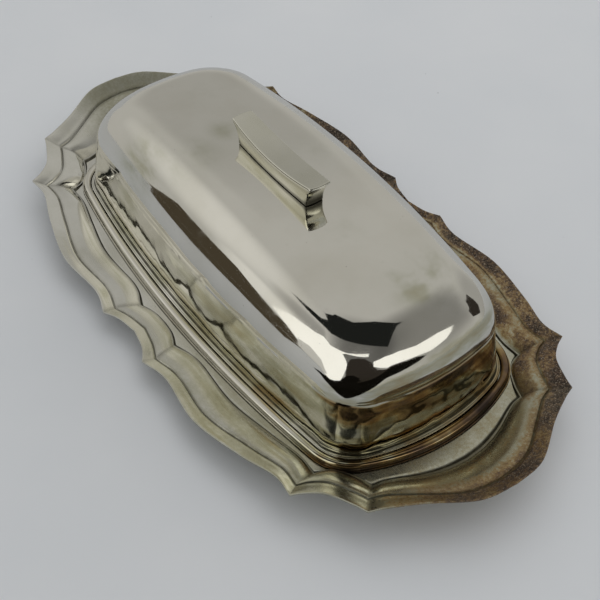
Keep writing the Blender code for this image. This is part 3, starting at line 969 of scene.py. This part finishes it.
def build_room():
    """Plain pale room: brighter beside the window, darker over the camera."""
    world = bpy.data.worlds.new("studio")
    world.use_nodes = True
    tree = world.node_tree
    where = tree.nodes.new("ShaderNodeTexCoord").outputs["Generated"]
    level = ROOM_LEVEL
    for patch in ROOM_PATCHES:
        level = lobe(tree, level, where, *patch)
    fills = tree.nodes.new("ShaderNodeLightPath").outputs["Is Diffuse Ray"]
    sky = tree.nodes["Background"]
    tree.links.new(mix_colour(tree, fills, (1.0, 0.985, 0.93, 1.0), (0.965, 0.985, 1.0, 1.0)),
                   sky.inputs["Color"])
    tree.links.new(mix_number(tree, fills, level, FILL_LEVEL), sky.inputs["Strength"])
    bpy.context.scene.world = world


def build_windows():
    """Two pale window cards and the dim sill of the first, seen only in the silver."""
    white = glow("window_white", (1.0, 0.99, 0.94), 0.98)
    dim = glow("window_dim", (1.0, 0.985, 0.93), 0.50)
    wall_card("window_left", [
        (245, 13), (246, 23), (249, 31), (251, 37), (266, 44), (277, 50), (286, 53),
        (295, 55.2), (307, 57.2), (320, 57.6), (339, 55.6), (339, 54.5), (322, 56.3),
        (306, 55.9), (296, 54.3), (289, 51), (296, 47.5), (300.5, 43), (300.5, 37), (297, 24),
        (293, 13), (283, 6), (274, 1.5), (262, -0.8), (250.5, -0.8), (250.5, 5), (248, 9.5)],
        1.6, white)
    wall_card("window_sill", [
        (250.5, -0.8), (250.5, 7), (253, 13), (257, 9), (268, 4), (262, -0.8)], 1.55, dim)
    wall_card("window_right", [
        (346, 46), (363, 43.5), (375, 35), (385, 29), (396, 27), (402, 22), (399, 17.5),
        (395, 14.5), (387, 13), (380, 17), (374, 19.5), (367, 21.5), (355, 32), (346, 39)],
        1.6, white)


def build_flags():
    """Dark cards around the camera's side: what the lid reflects below and above the windows."""
    black = glow("flag_black", (0.5, 0.44, 0.34), 0.009)
    dark = glow("flag_dark", (0.95, 0.80, 0.66), 0.028)
    brown = glow("flag_brown", (1.0, 0.80, 0.52), 0.055)
    overhead = glow("flag_overhead", (0.93, 1.0, 0.93), 0.0125)
    wall_card("flag_low", [
        (220, -1), (221, 1), (224.5, 11.5), (231, 13), (237, 14.6), (242, 12.2), (246, 9.2),
        (249, 9), (250.6, 3), (250.6, -1)], 1.62, brown)
    # A brown sheet on the table, seen only in the silver: painted shade that carries the brown
    # flag's reflection in towards the dish.
    level_card("shade_sheet_low", [
        (-0.24, -0.215), (-0.19, -0.19), (-0.13, -0.185), (-0.115, -0.25), (-0.05, -0.24),
        (-0.36, -1.12), (-0.62, -1.4), (-1.22, -1.05)], SHADE_SHEET_Z, brown)
    wall_card("flag_head", [
        (301, 16), (300.5, 37), (301, 44), (306, 51), (320, 54), (332, 53), (343, 46),
        (346, 38), (352, 31), (365, 21), (374, 19), (378, 15), (345, 12)], 1.4, dark)
    wall_card("flag_body", [
        (262, -1.2), (274, 1.5), (283, 6), (293, 13), (297, 20), (305, 27), (318, 31),
        (335, 24), (350, 17), (365, 17), (380, 16), (384, 11), (380, 8.5), (372, 6.5),
        (360, 5), (347, 2), (337, -1.2)], 1.3, black)
    # A black sheet on the table near the camera, seen only in the silver: painted shade standing
    # in for the dark camera side in the reflections.
    level_card("shade_sheet_near", [
        (0.008, -0.160), (0.060, -0.195), (0.085, -0.155), (0.094, -0.109), (0.101, -0.080),
        (0.121, -0.086), (0.176, -0.112), (1.2, -0.50), (0.5, -1.2), (-0.13, -1.2),
        (-0.046, -0.8), (-0.009, -0.243)], SHADE_SHEET_Z, black)
    level_card("ceiling_dark", [
        (-0.80, -1.15), (-0.58, -1.02), (-0.50, -0.84), (-0.53, -0.70), (-0.43, -0.38),
        (-0.02, -0.10), (0.10, 0.30), (0.52, 0.67), (1.30, 0.20), (0.66, -0.51), (0.28, -0.86),
        (-0.25, -1.18), (-0.70, -1.28)], CEILING_Z, overhead)
    wall_card("flag_far", [
        (57, 12), (62, 20), (72, 21), (80, 17), (76, 9), (68, 5)], 1.5, dark)


def build_floor():
    """The table, and a darker copy of it with painted shade that only the silver reflects."""
    bpy.ops.mesh.primitive_plane_add(size=FLOOR_SIZE, location=(0.0, 0.0, 0.0))
    floor = bpy.context.object
    floor.name = "floor"
    floor.data.materials.append(table_top("table_top", 1.0))
    floor.visible_glossy = False
    reach = MIRRORED_REACH
    corners = [(reach, reach), (-reach, reach), (-reach, -reach), (reach, -reach)]
    level_card("floor_mirrored", corners, MIRRORED_LIFT,
               table_top("table_mirrored", MIRRORED_SHADE))


def build_lamp():
    """One large soft lamp from behind, which the silver itself does not show."""
    lamp = bpy.data.lights.new("soft_box", "AREA")
    lamp.size = LAMP_SIZE
    lamp.energy = LAMP_WATTS
    lamp.color = (0.97, 0.985, 1.0)
    box = bpy.data.objects.new("soft_box", lamp)
    aim = direction(*LAMP_AIM)
    box.location = aim * LAMP_DISTANCE
    box.rotation_euler = aim.to_track_quat("Z", "Y").to_euler()
    box.visible_glossy = False
    bpy.context.scene.collection.objects.link(box)


def build_stage():
    """Floor, room, cards and lamp."""
    build_floor()
    build_room()
    build_windows()
    build_flags()
    build_lamp()
    bpy.context.scene.view_settings.view_transform = "Standard"


def build_camera():
    """The viewpoint, given as where it looks and from how far."""
    azimuth = math.radians(CAMERA_AZIMUTH)
    elevation = math.radians(CAMERA_ELEVATION)
    roll = math.radians(CAMERA_ROLL)
    back = Vector((math.sin(azimuth) * math.cos(elevation),
                   -math.cos(azimuth) * math.cos(elevation), math.sin(elevation)))
    right = Vector((math.cos(azimuth), math.sin(azimuth), 0.0))
    up = back.cross(right)
    turned_right = right * math.cos(roll) + up * math.sin(roll)
    turned_up = up * math.cos(roll) - right * math.sin(roll)
    data = bpy.data.cameras.new("camera")
    data.sensor_width = CAMERA_SENSOR
    data.lens = CAMERA_LENS
    data.clip_start = 0.01
    data.clip_end = 50.0
    camera = bpy.data.objects.new("camera", data)
    bpy.context.scene.collection.objects.link(camera)
    axes = Matrix((turned_right, turned_up, back)).transposed()
    spot = CAMERA_TARGET + back * CAMERA_DISTANCE
    camera.matrix_world = Matrix.Translation(spot) @ axes.to_4x4()
    bpy.context.scene.camera = camera


# ---------------------------------------------------------------- the whole scene


def build_fittings():
    """The screws and washers keep their CAD shape and get a better material."""
    steel = plain_metal("fitting_steel", (0.52, 0.52, 0.53), 0.28, 1.5)
    brass = plain_metal("fitting_brass", (0.74, 0.58, 0.30), 0.30, 1.2)
    for side in ("left", "right"):
        for part, material in (("screw_", steel), ("washer_", brass)):
            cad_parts[part + side].material_slots[0].material = material


def build_pieces():
    """Every rebuilt piece, with the body it rides, the CAD node it replaces and its slot."""
    tray = build_tray(tarnished_silver("tray_plate"))
    lid = build_lid(silver("lid_plate", (0.90, 0.88, 0.815), (0.78, 0.755, 0.67),
                           roughness=0.03, haze=0.16, ripple=0.05))
    bead = build_bead(silver("bead_plate", (0.86, 0.83, 0.75), (0.76, 0.71, 0.60),
                             roughness=0.05, haze=0.10, ripple=0.02))
    handle = build_handle(silver("handle_plate", (0.80, 0.785, 0.70), (0.66, 0.65, 0.54),
                                 roughness=0.10, haze=0.25, ripple=0.02))
    tarnish_tray(tray)
    tarnish_lid(lid)
    tarnish_bead(bead)
    tarnish_handle(handle)
    pieces = (
        (tray, "base", "tray", "tray_silver"),
        (lid, "lid", "lid_shell", "lid_silver"),
        (bead, "lid", "lid_bead", "bead_silver"),
        (handle, "lid", "handle", "handle_silver"),
        (build_liner(pressed_glass("pressed_glass")), "liner", "glass_liner", "liner_glass"),
    )
    for piece, body, node, slot in pieces:
        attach(piece, body)
        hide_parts(node)


def main():
    """Pieces, fittings, stage and camera."""
    build_pieces()
    build_fittings()
    build_stage()
    build_camera()


main()
